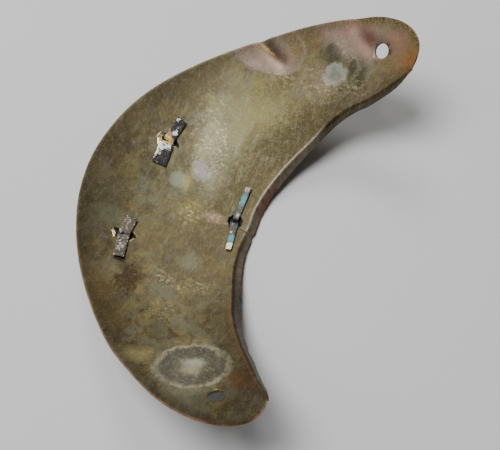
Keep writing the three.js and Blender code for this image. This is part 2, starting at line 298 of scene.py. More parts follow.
# %% A flat grid, carried to the form
rows = ACROSS_STEPS + BEND_STEPS + FLANGE_STEPS
columns = len(TURNS) - 1
MERGE = 0.00001  # metres; both tips end in one point
sheet_mesh = bmesh.new()
bmesh.ops.create_grid(sheet_mesh, x_segments=columns, y_segments=rows, size=0.5)
strip = sheet_mesh.loops.layers.uv.new("strip")
for face in sheet_mesh.faces:
    for loop in face.loops:
        turn = TURNS[round((loop.vert.co.x + 0.5) * columns)]
        loop[strip].uv = (turn, (loop.vert.co.y + 0.5) * rows / ACROSS_STEPS)
for vertex in sheet_mesh.verts:
    i = round((vertex.co.x + 0.5) * columns)
    j = round((vertex.co.y + 0.5) * rows)
    vertex.co = placed(SECTIONS[i][j][0])
bmesh.ops.remove_doubles(sheet_mesh, verts=sheet_mesh.verts, dist=MERGE)
print("sheet", len(sheet_mesh.faces), "faces")


# %% Give the sheet its thickness and cut its holes
def standing_at(x, y, heading=0.0):
    up = back_normal(x, y)
    ahead = Vector((math.cos(heading), math.sin(heading), 0))
    ahead = (ahead - up * ahead.dot(up)).normalized()
    side = up.cross(ahead)
    turned = Matrix((ahead, side, up)).transposed().to_4x4()
    return Matrix.Translation(placed(back_point(x, y))) @ turned


CORD_HOLES = [(-64.4, -3.4), (64.3, -5.4)]
CORD_HOLE_RADIUS = 2.6
CORD_HOLE_CORNERS = 40
TORN_CORNERS = 26
TEAR_TURN = -0.668
TEAR = [(-0.3, -1.3), (2.0, -1.3), (0.9, 0.3), (0.25, 1.5), (-0.15, 1.6)]
CORD_CUT, TORN_CUT, TEAR_CUT = 3, 4, 2  # how far the cutters reach to either side
SHEET_BEVEL = 0.22
SHARP_ANGLE = 50

# The badge's oval, and the prongs that stand at places of it
BADGE_HALF_WIDTH = 31
BADGE_HALF_HEIGHT = 22.5
BADGE_TO_BEND = 1.3
BADGE_CENTRE_Y = -(NECK_REACH + BADGE_TO_BEND + BADGE_HALF_HEIGHT)


def on_badge(x_share, y_share):
    return x_share * BADGE_HALF_WIDTH, BADGE_CENTRE_Y + y_share * BADGE_HALF_HEIGHT


# name, middle, half length and half width of the torn hole, lean of the hole in degrees
TORN_HOLES = [
    ("left", on_badge(-0.558, -0.698), 4.3, 2.1, -6),
    ("right", on_badge(0.7, -0.596), 4.2, 2.0, 8),
    ("neck", on_badge(0.02, 0.844), 2.45, 2.4, 0),
]


def add_cutter(bm, corners, depth, place):
    """A prism on the corners, given in millimetres, that reaches depth below and above them."""
    base = [bm.verts.new(Vector((a, b, -depth)) * MM) for a, b in corners]
    side = bmesh.ops.extrude_face_region(bm, geom=[bm.faces.new(base)])
    moved = [v for v in side["geom"] if isinstance(v, bmesh.types.BMVert)]
    bmesh.ops.translate(bm, verts=moved, vec=(0, 0, 2 * depth * MM))
    bmesh.ops.transform(bm, verts=base + moved, matrix=place)


def round_the_clock(corners):
    return [2 * math.pi * k / corners for k in range(corners)]


def cord_hole():
    return [
        (CORD_HOLE_RADIUS * math.cos(a), CORD_HOLE_RADIUS * math.sin(a))
        for a in round_the_clock(CORD_HOLE_CORNERS)
    ]


def torn_hole(name, long, wide):
    corners = []
    for angle in round_the_clock(TORN_CORNERS):
        ragged = 1 + 0.09 * math.sin(3 * angle + 1) + 0.07 * math.sin(5 * angle)
        if name == "neck":
            ragged = 1
        corners.append((wide * ragged * math.cos(angle), long * ragged * math.sin(angle)))
    return corners


def tear_place(turn):
    """Where the flange's edge is at a turn, with y pointing up the flange."""
    points = section(turn)
    brink, out = points[-1]
    inward = (points[-2][0] - brink).normalized()
    turned = Matrix((inward.cross(out), inward, out)).transposed().to_4x4()
    return Matrix.Translation(placed(brink)) @ turned


sheet = new_piece("plate_sheet", sheet_mesh, node="plate")
if sheet.data.polygons[len(sheet.data.polygons) // 2].normal.z < 0:
    sheet.data.flip_normals()
BACK, FRONT, EDGE = 0, 1, 2
for side in (BACK, FRONT, EDGE):
    sheet.data.materials.append(None)
thick = sheet.modifiers.new("thickness", "SOLIDIFY")
thick.thickness = SHEET * MM
thick.offset = -1
thick.use_even_offset = True
thick.material_offset = FRONT
thick.material_offset_rim = EDGE
rounded = sheet.modifiers.new("rounded_edge", "BEVEL")
rounded.width = SHEET_BEVEL * MM
rounded.segments = 2
rounded.limit_method = "ANGLE"
rounded.angle_limit = math.radians(SHARP_ANGLE)
cuts = bmesh.new()
for x, y in CORD_HOLES:
    add_cutter(cuts, cord_hole(), CORD_CUT, standing_at(x, y))
for name, place, long, wide, lean in TORN_HOLES:
    stand = standing_at(*place, math.radians(lean))
    add_cutter(cuts, torn_hole(name, long, wide), TORN_CUT, stand)
add_cutter(cuts, TEAR, TEAR_CUT, tear_place(TEAR_TURN))
bmesh.ops.recalc_face_normals(cuts, faces=cuts.faces)
cut_mesh = bpy.data.meshes.new("cuts")
cuts.to_mesh(cut_mesh)
cuts.free()
cutter = bpy.data.objects.new("cuts", cut_mesh)
bpy.context.scene.collection.objects.link(cutter)
cut = sheet.modifiers.new("cut", "BOOLEAN")
cut.operation = "DIFFERENCE"
cut.solver = "EXACT"
cut.object = cutter


def apply_modifiers(piece):
    bpy.context.view_layer.update()
    evaluated = piece.evaluated_get(bpy.context.evaluated_depsgraph_get())
    finished = bpy.data.meshes.new_from_object(evaluated)
    piece.modifiers.clear()
    old = piece.data
    piece.data = finished
    bpy.data.meshes.remove(old)


apply_modifiers(sheet)
bpy.data.objects.remove(cutter)
print("sheet", len(sheet.data.polygons), "faces after cutting")

# %% [markdown]
# ## The prongs
# Each prong is a strip of thin metal folded double. Its two legs come up through a torn hole
# and are bent apart, flat on the back. A leg is a narrow flat grid carried along its path:
# up, over a quarter circle, and along the sheet, with a slight lift to its tip. A small bevel
# rounds its edges.

# %% The path of one leg
SEAT_GAP = 0.3
PRONG_THICKNESS = 0.5
PRONG_BEND = 1.0
LEG_SPACING = 0.2
BADGE_THICKNESS = 1.6
EDGE_BEVEL = 0.09

# hole, heading in degrees, reach, root and tip widths in millimetres, lift and twist of the tip
LEGS = [
    ("left", 169, 9.2, 3.9, 3.9, 0.35, 0.1),
    ("left", 4, 9.2, 5.35, 5.4, 0.25, -0.1),
    ("right", 185, 6.8, 4.1, 4.2, 0.3, 0.1),
    ("right", 18, 9.9, 4.1, 3.7, 0.75, 0.05),
    ("neck", 182, 13.2, 2.2, 2.2, 0.6, 0.1),
    ("neck", 14, 11.9, 3.1, 1.9, 0.5, 0.0),
]
LEG_STEPS = 40
LEG_ROWS = 8


def leg_path(share, reach, lift):
    """(distance along the sheet, height over it) at a share of the leg's length."""
    high_at = SEAT_GAP + PRONG_THICKNESS / 2
    apart = (LEG_SPACING + PRONG_THICKNESS) / 2
    foot = -SHEET - SEAT_GAP - BADGE_THICKNESS / 2
    rise = high_at - PRONG_BEND - foot
    arc = math.pi / 2 * PRONG_BEND
    flat = reach - apart - PRONG_BEND
    walked = share * (rise + arc + flat)
    if walked < rise:
        return apart, foot + walked
    if walked < rise + arc:
        angle = (walked - rise) / PRONG_BEND
        bent = PRONG_BEND * (1 - math.cos(angle))
        return apart + bent, high_at - PRONG_BEND * (1 - math.sin(angle))
    out = walked - rise - arc
    return apart + PRONG_BEND + out, high_at + lift * (out / flat) ** 2


def leg_mesh(bm, place, heading, reach, root, tip, lift, twist):
    made = bmesh.ops.create_grid(bm, x_segments=LEG_STEPS, y_segments=LEG_ROWS, size=0.5)
    ahead = Vector((math.cos(heading), math.sin(heading), 0))
    x0, y0 = place
    for vertex in made["verts"]:
        share, sideways = vertex.co.x + 0.5, vertex.co.y
        along, over = leg_path(share, reach, lift)
        up = back_normal(x0 + along * ahead.x, y0 + along * ahead.y)
        side = up.cross(ahead).normalized()
        width = root + (tip - root) * min(1, max(0, along / reach))
        ragged = 0.12 * noise.noise(Vector((along * 0.9, heading, sideways)))
        end = 0.25 * noise.noise(Vector((sideways * 4, heading, 2))) * share**8
        centre = over_back(x0 + (along + end) * ahead.x, y0 + (along + end) * ahead.y, over)
        lean = twist * sideways * width * max(0, along / reach)
        vertex.co = placed(centre + side * sideways * (width + ragged) + up * lean)
    return made["verts"]


def prong_piece(name, place):
    bm = bmesh.new()
    for hole, heading, reach, root, tip, lift, twist in LEGS:
        if hole == name:
            leg_mesh(bm, place, math.radians(heading), reach, root, tip, lift, twist)
    piece = new_piece("prong_" + name, bm, node="badge")
    thick = piece.modifiers.new("thickness", "SOLIDIFY")
    thick.thickness = PRONG_THICKNESS * MM
    thick.offset = 0
    edges = piece.modifiers.new("edges", "BEVEL")
    edges.width = EDGE_BEVEL * MM
    edges.segments = 2
    edges.limit_method = "ANGLE"
    return piece


prong_pieces = {}
for name, place, *_ in TORN_HOLES:
    prong_pieces[name] = prong_piece(name, place)
    apply_modifiers(prong_pieces[name])
    print("prong", name, len(prong_pieces[name].data.polygons), "faces")

# %% [markdown]
# ## The badge
# The front isn't seen, so the badge is left blank: a plain oval, turned like a dish on a lathe
# from its edge's profile, stretched to an oval, and then draped on the sheet's front face. The
# model has a small flat at its crown, on which it lies, so the vertices under that level are
# brought up to it.

# %% Spin a profile, stretch it and drape it
BADGE_FLAT_DEPTH = 0.5
BADGE_PROFILE = [
    (0, 0), (0.985, 0), (1, 0.25), (1, 0.7), (0.985, 1), (0.955, 1.05), (0.925, 0.95),
    (0.91, 0.78), (0.89, 0.75), (0.86, 0.8), (0.8, 0.9), (0, 1),
]
BADGE_SPOKES = 96
BADGE_RINGS = 14  # extra ones on each face


def badge_mesh():
    bm = bmesh.new()
    corners = [bm.verts.new((reach, 0, thick)) for reach, thick in BADGE_PROFILE]
    edges = [bm.edges.new(pair) for pair in zip(corners, corners[1:])]
    bmesh.ops.subdivide_edges(bm, edges=[edges[0], edges[-1]], cuts=BADGE_RINGS)
    bmesh.ops.spin(
        bm, geom=bm.verts[:] + bm.edges[:], cent=(0, 0, 0), axis=(0, 0, 1),
        angle=2 * math.pi, steps=BADGE_SPOKES, use_merge=True,
    )
    bmesh.ops.remove_doubles(bm, verts=bm.verts, dist=0.0001)
    ground = -SHEET - SEAT_GAP - BADGE_THICKNESS + BADGE_FLAT_DEPTH
    for vertex in bm.verts:
        x = vertex.co.x * BADGE_HALF_WIDTH
        y = BADGE_CENTRE_Y + vertex.co.y * BADGE_HALF_HEIGHT
        deep = SHEET + SEAT_GAP + vertex.co.z * BADGE_THICKNESS
        point = over_back(x, y, -deep)
        point.z = max(point.z, ground)
        vertex.co = placed(point)
    return bm


badge = new_piece("badge_oval", badge_mesh(), node="badge")
print("badge", len(badge.data.polygons), "faces")

# %% [markdown]
# ## The torn lips
# Where the holes were punched from the front, the brass tore and its lips stand up on the
# back. They are bright, because they rub. Each lip is a small pointed grid that grows out of
# the hole's edge and curls over.

# %% Curled lips at two holes
# hole, angle round the hole, width, length, curl in degrees
LIPS = [
    ("left", 303, 4.4, 2.8, 65), ("left", 262, 3.0, 2.0, 120), ("left", 52, 3.2, 1.7, 60),
    ("right", 303, 3.0, 1.6, 70), ("right", 262, 1.6, 0.9, 60), ("right", 55, 3.2, 0.9, 45),
]
LIP_THICKNESS = 0.3


def lip_mesh(bm, place, long, wide, lean, angle, width, length, curl):
    made = bmesh.ops.create_grid(bm, x_segments=8, y_segments=6, size=0.5)
    frame_here = standing_at(*place, heading=math.radians(lean))
    turn = math.radians(angle)
    foot = Vector((wide * math.cos(turn), long * math.sin(turn), -0.1))
    inward = Vector((-math.cos(turn), -math.sin(turn), 0))
    side = Vector((-inward.y, inward.x, 0))
    for vertex in made["verts"]:
        sideways, out = vertex.co.x, vertex.co.y + 0.5
        taper = 1 - 0.6 * out**2
        bend = math.radians(curl) * out
        reach = length * math.sin(bend) / math.radians(curl)
        rise = length * (1 - math.cos(bend)) / math.radians(curl)
        ragged = 0.25 * noise.noise(Vector((sideways * 5, angle, out * 2)))
        point = foot + inward * (reach * 0.8 - 0.35) + side * sideways * width * taper
        point += Vector((0, 0, rise * 0.9 + ragged * out))
        vertex.co = frame_here @ (point * MM)


lips = bmesh.new()
for hole, angle, width, length, curl in LIPS:
    for name, place, long, wide, lean in TORN_HOLES:
        if name == hole:
            lip_mesh(lips, place, long, wide, lean, angle, width, length, curl)
torn_lips = new_piece("torn_lips", lips)
thick = torn_lips.modifiers.new("thickness", "SOLIDIFY")
thick.thickness = LIP_THICKNESS * MM
thick.offset = 0
rounded = torn_lips.modifiers.new("rounded", "SUBSURF")
rounded.levels = 1
rounded.render_levels = 1
apply_modifiers(torn_lips)
print("lips", len(torn_lips.data.polygons), "faces")

# %% [markdown]
# ## Shader maths as expressions
# A finish is easier to read as sums than as a web of boxes. `Wire` wraps a socket, so that
# `1 - mask` or `mask * grain` adds its Math nodes. Colours go through Mix nodes. `node` makes
# any other node from its type, its settings and the values or wires of its sockets.


# %% A small class for wires, and a finish to hang them on
class Wire:
    def __init__(self, finish, socket):
        self.finish = finish
        self.socket = socket

    def math(self, operation, *others):
        return self.finish.node("ShaderNodeMath", {"operation": operation}, [self, *others])

    def __add__(self, other):
        return self.math("ADD", other)

    __radd__ = __add__

    def __mul__(self, other):
        return self.math("MULTIPLY", other)

    __rmul__ = __mul__

    def __sub__(self, other):
        return self.math("SUBTRACT", other)

    def __rsub__(self, other):
        return self.finish.node("ShaderNodeMath", {"operation": "SUBTRACT"}, [other, self])

    def ramp(self, low, high, at_low, at_high):
        """at_low below low, at_high over high, smooth between."""
        return self.finish.node(
            "ShaderNodeMapRange", {"interpolation_type": "SMOOTHSTEP"},
            {"Value": self, "From Min": low, "From Max": high,
             "To Min": at_low, "To Max": at_high},
        )

    def above(self, low, high, strength=1.0):
        return self.ramp(low, high, 0.0, strength)

    def below(self, low, high, strength=1.0):
        return self.ramp(low, high, strength, 0.0)


class Finish:
    def __init__(self, name, metallic, roughness):
        self.material = bpy.data.materials.new(name)
        self.material.use_nodes = True
        self.tree = self.material.node_tree
        self.shader = self.tree.nodes["Principled BSDF"]
        self.shader.inputs["Metallic"].default_value = metallic
        self.shader.inputs["Roughness"].default_value = roughness

    def node(self, kind, settings, inputs, output=0):
        made = self.tree.nodes.new(kind)
        for name, value in settings.items():
            setattr(made, name, value)
        pairs = inputs.items() if isinstance(inputs, dict) else enumerate(inputs)
        for key, value in pairs:
            if isinstance(value, Wire):
                self.tree.links.new(value.socket, made.inputs[key])
            else:
                made.inputs[key].default_value = value
        return Wire(self, made.outputs[output])

    def mix(self, factor, a, b):
        """Colour a where the factor is 0, and b where it is 1."""
        sides = [(*c, 1) if isinstance(c, tuple) else c for c in (a, b)]
        return self.node(
            "ShaderNodeMix", {"data_type": "RGBA"}, {0: factor, 6: sides[0], 7: sides[1]}, 2,
        )

    def feed(self, **sockets):
        for name, value in sockets.items():
            self.tree.links.new(value.socket, self.shader.inputs[name.replace("_", " ")])

    def bump(self, height, strength, distance):
        return self.node(
            "ShaderNodeBump", {},
            {"Height": height, "Strength": strength, "Distance": distance},
        )


def rgb(red, green, blue):
    """A colour as a screen shows it, 0 to 255, turned into the shader's linear light."""
    def linear(value):
        share = value / 255
        return share / 12.92 if share <= 0.04045 else ((share + 0.055) / 1.055) ** 2.4
    return linear(red), linear(green), linear(blue)


print("finish class ready")

# %% [markdown]
# ## Spots on the sheet
# Old brass is a history of stains, and each lies at a place of its own. So the finishes measure
# in millimetres from the neck centre, seen from above. A spot is an oval whose edge is broken
# up by one slow noise, and a ring is the band along an oval's edge. The noise is multiplied
# with the nearness, so that it can't raise a stain where none was put.


# %% A finish that knows its place on the sheet
FLATTEN = 1000000  # divides a height away


class Patina(Finish):
    def __init__(self, name, metallic, roughness):
        super().__init__(name, metallic, roughness)
        self.flat = self.node(
            "ShaderNodeMapping", {"vector_type": "TEXTURE"},
            {"Vector": self.node("ShaderNodeTexCoord", {}, {}, "Object"),
             "Location": TO_FRAME, "Scale": (MM, MM, FLATTEN)},
        )
        self.ragged = self.noise(0.3, 1, detail=6, roughness=0.65) - 0.5

    def noise(self, scale, seed, detail=5.0, roughness=0.6, distortion=0.0, stretch=(1, 1, 1)):
        """Noise with so many waves to a millimetre; the seed lifts it to a layer of its own."""
        lifted = self.node(
            "ShaderNodeMapping", {},
            {"Vector": self.flat, "Location": (0, 0, 5 * seed / scale), "Scale": stretch},
        )
        return self.node(
            "ShaderNodeTexNoise", {},
            {"Vector": lifted, "Scale": scale, "Detail": detail, "Roughness": roughness,
             "Distortion": distortion},
        )

    def nearness(self, x, y, radius, ragged, long, lean):
        """1 at a place, 0.5 on an oval of that radius, 0 at twice that, with a ragged edge."""
        oval = self.node(
            "ShaderNodeMapping", {"vector_type": "TEXTURE"},
            {"Vector": self.flat, "Location": (x, y, 0), "Rotation": (0, 0, math.radians(lean)),
             "Scale": (2 * radius * long, 2 * radius, 1)},
        )
        near = self.node("ShaderNodeTexGradient", {"gradient_type": "SPHERICAL"}, [oval], "Fac")
        return near * self.ragged.math("MULTIPLY_ADD", 4 * ragged, 1.0)

    def spot(self, strength, x, y, radius, soft=0.5, ragged=0.3, long=1.0, lean=0.0):
        near = self.nearness(x, y, radius, ragged, long, lean)
        return near.above((1 - soft) / 2, (1 + soft) / 2, strength)

    def ring(self, strength, x, y, radius, width=0.2, ragged=0.2, long=1.0, lean=0.0):
        off = (self.nearness(x, y, radius, ragged, long, lean) - 0.5).math("ABSOLUTE")
        return off.below(width * 0.1, width * 0.5, strength)


# %% [markdown]
# ## The patina's ground
# The ground is olive and brown in drifts as wide as a thumb. Over them lie greyer, ochre and
# rust clouds and flecks of a few millimetres. The mottling, the grain and the streaks are made
# here too, but they go on last, over all the stains.

# %% Layers of the ground: screen colours
patina = Patina("patinated_brass", 0.75, 0.45)
drift = patina.noise(0.04, 2, 3, 0.5, 0.4)
grey_cloud = patina.noise(0.09, 3, 6, 0.66, 0.5)
ochre_cloud = patina.noise(0.13, 4, 6, 0.66, 0.4)
rust_cloud = patina.noise(0.11, 5, 6, 0.68, 0.3)
mottle = patina.noise(0.55, 6, 6, 0.75, 0.2)
grain = patina.noise(1.9, 7, 4, 0.7)
streaks = patina.noise(0.5, 8, 5, 0.7, 0.3, (0.3, 1.2, 1))
ground = patina.mix(drift.above(0.38, 0.62), rgb(104, 93, 70), rgb(126, 119, 90))
ground = patina.mix(grey_cloud.above(0.48, 0.59, 0.65), ground, rgb(142, 139, 119))
ground = patina.mix(ochre_cloud.above(0.5, 0.57, 0.7), ground, rgb(146, 133, 84))
ground = patina.mix(rust_cloud.above(0.52, 0.61, 0.65), ground, rgb(88, 69, 48))
fleck = patina.noise(0.24, 10, 6, 0.66, 0.8)
ground = patina.mix(fleck.above(0.52, 0.62, 0.45), ground, rgb(150, 136, 82))
ground = patina.mix(fleck.below(0.38, 0.48, 0.45), ground, rgb(80, 68, 48))
print("ground of", len(patina.tree.nodes), "nodes")

# %% [markdown]
# ## The stains, and painted shade along the neck
# First the broad ones: the olive and silvery middle, brown and ochre clouds, and a painted
# shade along the neck. Then come the reddened rim of the left horn with its pale border, the
# grey-green spot on that horn, the round spot of the belly, and the large ring on the right
# horn with its pale middle and the rust beside it.

# %% Stains and painted shade: screen colour, strength, x, y, radius, softness, raggedness, length, lean
STAINS_AND_SHADE = [
    # the broad olive middle
    ((74, 78, 58), 0.6, -14, -46, 19, 0.9, 0.3, 1.4, -30),
    # the silvery middle
    ((146, 142, 114), 0.3, -36, -50, 9, 0.8, 0.4, 1.5, 40),
    ((152, 150, 130), 0.4, -23, -51, 4.5, 0.8, 0.5, 2.2, 15),
    ((146, 143, 122), 0.3, -10, -42, 4, 0.8, 0.5, 1.7, 20),
    ((146, 142, 146), 0.7, -12.5, -49, 2.8, 0.7, 0.4, 1.3, 60),
    ((122, 116, 66), 0.55, -40, -37, 8, 0.8, 0.4, 1.4, 100),
    # brown and ochre clouds
    ((92, 80, 58), 0.55, 18, -74, 8, 0.8, 0.3, 2.8, 14),
    ((92, 82, 60), 0.5, -22, -73, 7, 0.8, 0.3, 2.4, -24),
    ((140, 124, 66), 0.6, 3.5, -45.8, 4.5, 0.7, 0.5, 1.3, 80),
    ((136, 120, 72), 0.5, 18, -55, 5, 0.8, 0.5, 1.3, 60),
    ((128, 132, 104), 0.55, 17, -70, 3.6, 0.7, 0.5, 1.6, 90),
    ((140, 116, 70), 0.6, 44, -62, 5, 0.6, 0.6, 2.4, 52),
    ((78, 66, 42), 0.7, 6, -36, 7, 0.8, 0.4, 2.0, 0),
    ((74, 54, 24), 0.8, 36.7, -52, 3.8, 0.3, 0.7, 1.6, 10),
    ((96, 74, 44), 0.6, 52, -49, 5, 0.7, 0.6, 1.6, 50),
    ((186, 174, 116), 0.85, 61.0, -34.4, 2.6, 0.6, 0.6, 1.7, 115),
    ((96, 86, 62), 0.75, -38, -67, 6, 0.8, 0.4, 2.4, -48),
    # painted shade: two dark olive spots along the inner neck
    ((54, 51, 22), 0.9, -32, -25, 7.5, 0.8, 0.5, 2.8, -42),
    ((60, 56, 27), 0.85, -15, -31, 6.5, 0.8, 0.5, 2.6, -28),
    ((88, 78, 54), 0.65, 18, -44, 10, 0.8, 0.5, 1.5, 30),
    ((84, 66, 42), 0.7, 58, 3, 6, 0.8, 0.4, 1.6, 40),
    ((132, 134, 112), 0.5, 21.4, -37.7, 3, 0.7, 0.5),
    ((106, 90, 60), 0.4, -48, -24, 6, 0.8, 0.4, 1.5, 60),
    # the reddened rim of the left horn
    ((152, 128, 114), 0.85, -59, -43.5, 7.4, 0.14, 0.08, 1.9, 88),
    ((190, 170, 160), 0.6, -54.3, -50, 2.4, 0.8, 0.5, 3.0, 80),
    ((172, 148, 138), 0.5, -53.8, -38, 1.8, 0.8, 0.5, 3.0, 94),
    ((100, 64, 50), 0.8, -57.6, -40.2, 1.2, 0.8, 0.2, 3.6, 68),
    ((128, 132, 108), 0.6, -61.7, -38.2, 1.6, 0.5, 0.5, 1.3, 90),
    ((130, 108, 64), 0.8, -63, -30, 4.4, 0.4, 0.5, 1.5, 95),
    ((104, 92, 60), 0.6, -58.5, -27.5, 4.2, 0.8, 0.4, 1.4, 40),
    ((164, 131, 120), 0.9, -67, -15, 5.6, 0.4, 0.4, 2.3, 78),
    ((168, 150, 140), 0.7, -64.3, -17.5, 1.7, 0.8, 0.5, 4.2, 64),
    ((116, 74, 60), 0.7, -67.8, -9.6, 1.4, 0.8, 0.3, 3.2, 62),
    # the left horn's end
    ((140, 112, 62), 0.85, -64.5, 6.5, 6.5, 0.5, 0.5, 1.3, 70),
    ((88, 86, 50), 0.7, -71.3, 1.5, 2.2, 0.7, 0.6, 2.8, 62),
    ((156, 116, 102), 0.7, -67, 0.4, 3.6, 0.6, 0.5, 1.4, 30),
    ((166, 94, 44), 0.65, -61, 8, 3.2, 0.8, 0.5, 1.4, 100),
    ((128, 112, 80), 0.6, -56, 2.5, 5, 0.8, 0.4, 1.3, 50),
    ((146, 122, 104), 0.55, -52, -4, 3.4, 0.8, 0.6, 1.6, 80),
    ((140, 118, 98), 0.5, -53.3, -20.5, 3.4, 0.8, 0.6, 1.5, 60),
    ((70, 68, 50), 0.9, -61.4, -20.4, 2.8, 0.7, 0.5, 1.5, 60),
    ((70, 68, 52), 0.95, -57.4, -9.4, 3.0, 0.7, 0.5, 1.8, 35),
    ((80, 76, 54), 0.7, -54.6, -8.0, 2.4, 0.8, 0.5, 1.6, 35),
    ((172, 176, 162), 0.85, -56.1, -16.4, 3.4, 0.22, 0.5, 1.15, 90),
    ((112, 116, 100), 0.75, -56.0, -16.2, 1.8, 0.6, 0.9, 1.3, 60),
    # round spot of the belly, and the pink scrape by the neck
    ((130, 138, 118), 0.75, -6.1, -55.8, 2.9, 0.3, 0.3),
    ((156, 146, 98), 0.6, -6.2, -52.6, 1.3, 0.8, 0.4, 2.4, 10),
    ((170, 132, 120), 0.6, 2.1, -36.8, 1.6, 0.8, 0.9, 2.2, 88),
    # the right horn: dark field, pale middle and rust
    ((76, 75, 68), 0.85, 57.2, -17.0, 7.4, 0.14, 0.1, 1.44, 114),
    ((84, 74, 60), 0.6, 54.5, -13, 3.4, 0.7, 0.6, 1.4, 60),
    ((90, 84, 76), 0.5, 55.6, -22, 2.8, 0.7, 0.6, 1.6, 100),
    ((122, 108, 100), 0.6, 62, -18, 3.0, 0.7, 0.6, 1.6, 120),
    ((222, 228, 214), 1.0, 56.6, -17.6, 1.7, 0.6, 0.5, 1.6, 112),
    ((224, 210, 166), 0.95, 58.8, -17.2, 1.6, 0.7, 0.5, 1.5, 112),
    ((138, 136, 112), 0.55, 57.4, -17.4, 3.2, 0.8, 0.6, 1.5, 112),
    ((132, 78, 42), 0.65, 57, -3, 2.6, 0.8, 0.8, 1.3, 10),
    ((126, 76, 44), 0.6, 52, 1.8, 2.2, 0.8, 0.7, 2.6, 10),
    ((120, 126, 108), 0.6, 61.4, -2.6, 1.8, 0.7, 0.5),
    ((84, 70, 48), 0.5, 66, 2, 5, 0.8, 0.4, 1.4, 40),
    ((104, 108, 96), 0.4, 69.6, -12, 4.5, 0.8, 0.4, 1.6, 60),
]
for colour, *oval in STAINS_AND_SHADE:
    ground = patina.mix(patina.spot(*oval), ground, rgb(*colour))

# %% Pale borders: screen colour, strength, x, y, radius, width, raggedness, length, lean
BORDERS = [
    ((170, 168, 144), 0.9, 57.2, -17.0, 7.7, 0.11, 0.1, 1.44, 114),
    ((190, 180, 136), 0.7, 57.8, -18.0, 7.8, 0.08, 0.12, 1.4, 114),
    ((176, 162, 144), 0.55, -59, -43.5, 7.5, 0.08, 0.08, 1.9, 88),
    ((152, 146, 116), 0.5, -56.3, -18.5, 9.2, 0.14, 0.25),
]
broken = rust_cloud.ramp(0.36, 0.56, 0.4, 1.0) * mottle.ramp(0.4, 0.56, 0.35, 1.0)
for colour, *oval in BORDERS:
    ground = patina.mix(patina.ring(*oval) * broken, ground, rgb(*colour))

# %% Bright speckles: strength, x, y, radius, softness, raggedness, length, lean
SCRAPES = [
    (1.0, 31, -40.5, 2.4, 0.7, 0.8, 2.4, 75), (0.9, 28.6, -30.5, 2.2, 0.9, 0.8, 1.8, 80),
    (0.8, 42.4, -36, 3.2, 0.8, 0.7, 1.8, 100), (0.8, 61.8, -33.4, 3.2, 0.8, 0.7, 1.7, 110),
    (0.7, 3.5, -45.8, 3.4, 0.9, 0.6, 1.2, 0), (0.2, -42, -30, 6, 0.8, 0.8, 1.6, 40),
    (0.8, -53, -19.5, 3.2, 0.9, 0.8, 2.0, 80), (0.9, -52.6, -7, 2.2, 0.9, 0.8, 2.2, 80),
    (0.8, 2.1, -36.8, 2.0, 0.9, 0.8, 2.2, 88), (0.7, -24, -50, 6, 0.9, 0.8, 2.2, 20),
    (0.8, -64.6, -17.8, 1.6, 0.9, 0.8, 4.4, 58), (0.4, 58, -17, 8, 0.9, 0.6),
    (0.9, -51.6, -34, 1.2, 0.9, 0.8, 3.0, 84),
]
speckle = patina.noise(0.85, 9, 6, 0.74, 0.3, (1.25, 0.7, 1)).above(0.52, 0.61)
for oval in SCRAPES:
    ground = patina.mix(patina.spot(*oval) * speckle, ground, rgb(208, 196, 148))
print("stains", len(STAINS_AND_SHADE), "borders", len(BORDERS), "scrapes", len(SCRAPES))

# %% [markdown]
# ## Rim, bend and flange
# The UV map says how far across the sheet a spot lies: 0 at the rim, 1 at the bend, more on
# the flange. Painted shade darkens the sheet towards its rim and towards the neck. A painted
# highlight lies along the bend on the left and in the middle, but on the right horn the bend is
# dark with an orange line. The flange is brown with a red patch, and a fine crack runs from the
# neck's hole to the bend.

# %% Tints, painted shade and painted highlights that follow the edge
strip_at = patina.node("ShaderNodeUVMap", {"uv_map": "strip"}, {}, "UV")
turn_at = patina.node("ShaderNodeSeparateXYZ", {}, [strip_at], "X")
across_at = patina.node("ShaderNodeSeparateXYZ", {}, [strip_at], "Y")
# painted shade: the sheet is darkened towards its rim and towards the neck
ground = patina.mix(across_at.below(0.0, 0.16, 0.6), ground, rgb(78, 66, 46))
ground = patina.mix(across_at.above(0.62, 0.98, 0.6), ground, rgb(78, 66, 40))
gold_rim = across_at.below(0.02, 0.16) * grain.above(0.5, 0.6) * turn_at.below(-0.8, -0.66)
ground = patina.mix(gold_rim * 0.6, ground, rgb(196, 160, 84))
# painted highlight: gold glints along the raised lip of the crease on the left horn
painted_glint_on_lip = patina.spot(0.8, -58.4, -43.4, 0.4, 0.7, 0.3, 7, 74) * grain.above(0.46, 0.56)
ground = patina.mix(painted_glint_on_lip, ground, rgb(226, 190, 112))
crack = patina.spot(0.8, 2.3, -26.3, 0.15, 0.6, 0.3, 16, 77)
ground = patina.mix(crack, ground, rgb(178, 128, 92))
on_flange = across_at.above(1.1, 1.16)
flange_tone = patina.mix(mottle.above(0.4, 0.6), rgb(122, 105, 84), rgb(150, 131, 106))
flange_tone = patina.mix(turn_at.below(-0.72, -0.6, 0.8), flange_tone, rgb(84, 68, 44))
flange_tone = patina.mix(turn_at.above(0.5, 0.66, 0.8), flange_tone, rgb(64, 50, 36))
ground = patina.mix(on_flange * 0.9, ground, flange_tone)
red_streak = patina.spot(0.85, -11, -23, 4.2, 0.6, 0.8, 1.6, 0) * across_at.above(1.05, 1.1)
ground = patina.mix(red_streak, ground, rgb(124, 62, 42))
